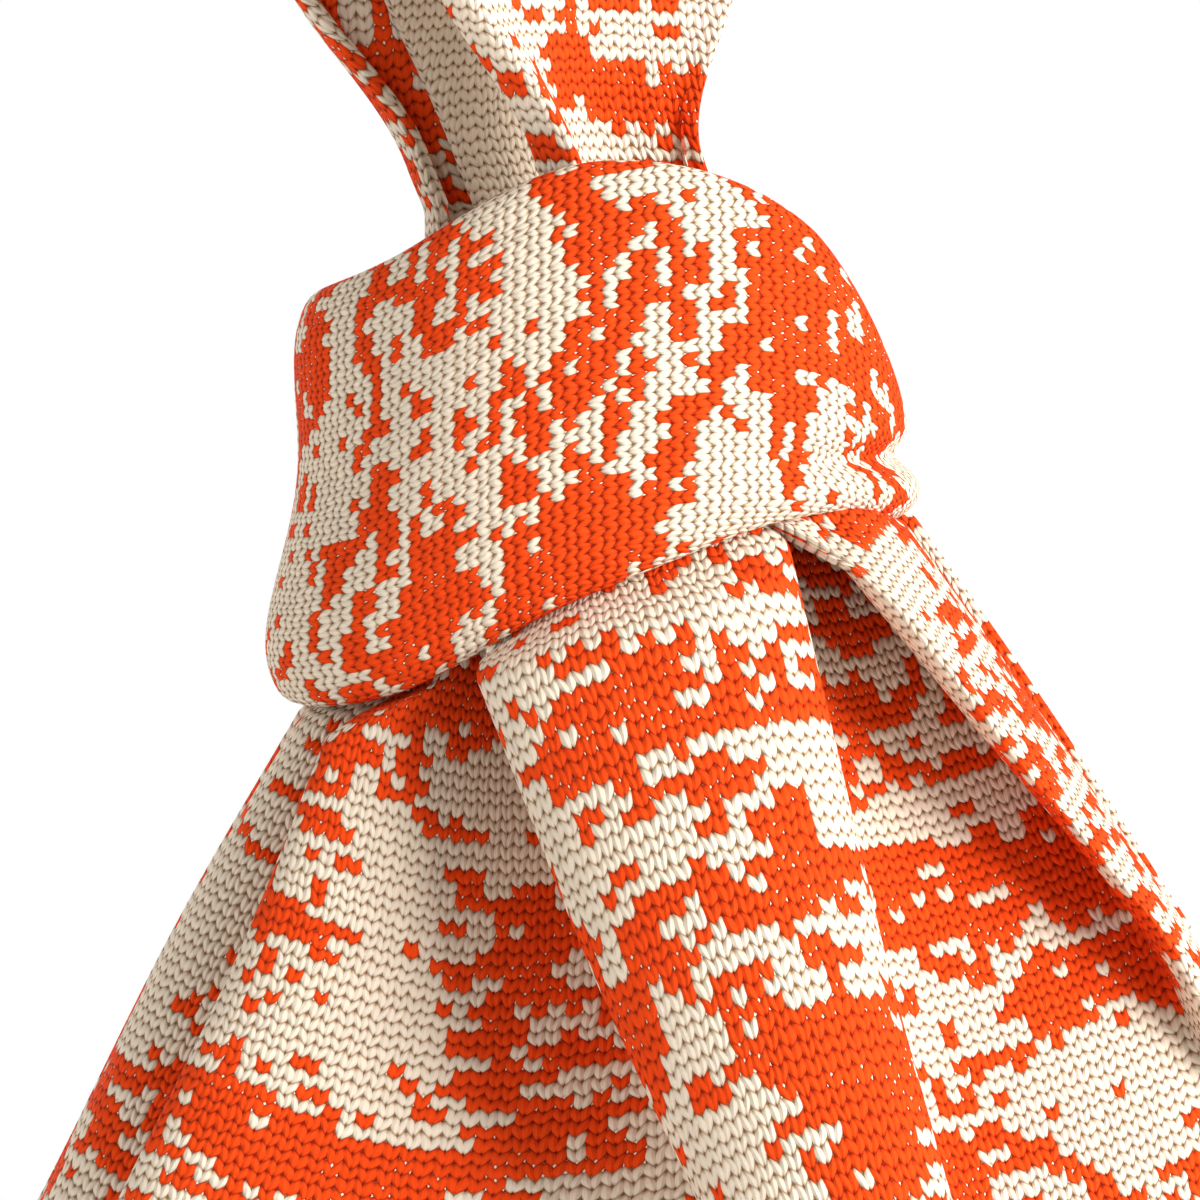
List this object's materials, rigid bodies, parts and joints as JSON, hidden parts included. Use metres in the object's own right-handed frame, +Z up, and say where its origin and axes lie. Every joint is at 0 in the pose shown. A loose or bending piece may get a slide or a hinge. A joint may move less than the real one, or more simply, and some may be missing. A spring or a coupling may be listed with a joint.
{
  "type": "japanese knot bag",
  "caption": "Soft knit wrist bag with a flat oval base, a gathered neck, and a long carrying loop drawn up through a short loop that lies as a wide band and closes the mouth.",
  "frame": {"origin": "centre of the underside of the flat base", "axes": "+Z up along the height, +X to the right seen from the front, -Y is the front where the band shows"},
  "size_m": [0.2987, 0.1451, 0.4933],
  "materials": {
    "jacquard_knit": "thick two-colour jacquard knit, orange-red and cream",
    "cream_facing": "plain cream knit"
  },
  "bodies": {
    "bag": {"base_panel": "jacquard_knit", "base_seam": "jacquard_knit", "front_panel": "jacquard_knit", "back_panel": "jacquard_knit", "left_side_seam": "jacquard_knit", "right_side_seam": "jacquard_knit", "front_lining": "cream_facing", "back_lining": "cream_facing", "base_lining": "cream_facing", "short_front_root": "jacquard_knit", "short_back_root": "jacquard_knit"},
    "cinch": {"short_front_band": "jacquard_knit", "short_back_band": "jacquard_knit", "short_front_facing": "cream_facing", "short_back_facing": "cream_facing", "short_join_seam": "jacquard_knit"},
    "loop": {"long_front_strap": "jacquard_knit", "long_back_strap": "jacquard_knit", "long_front_facing": "cream_facing", "long_back_facing": "cream_facing", "long_join_seam": "jacquard_knit"}
  },
  "joints": [
    {"name": "band_slide", "type": "slide", "parent": "bag", "child": "cinch", "axis": [0, 0, 1], "range_m": [0, 0.008]},
    {"name": "loop_swing", "type": "hinge", "parent": "bag", "child": "loop", "pos_m": [-0.018, 0, 0.315], "axis": [-0.6018, 0.7986, 0], "range_deg": [-18, 18]}
  ]
}
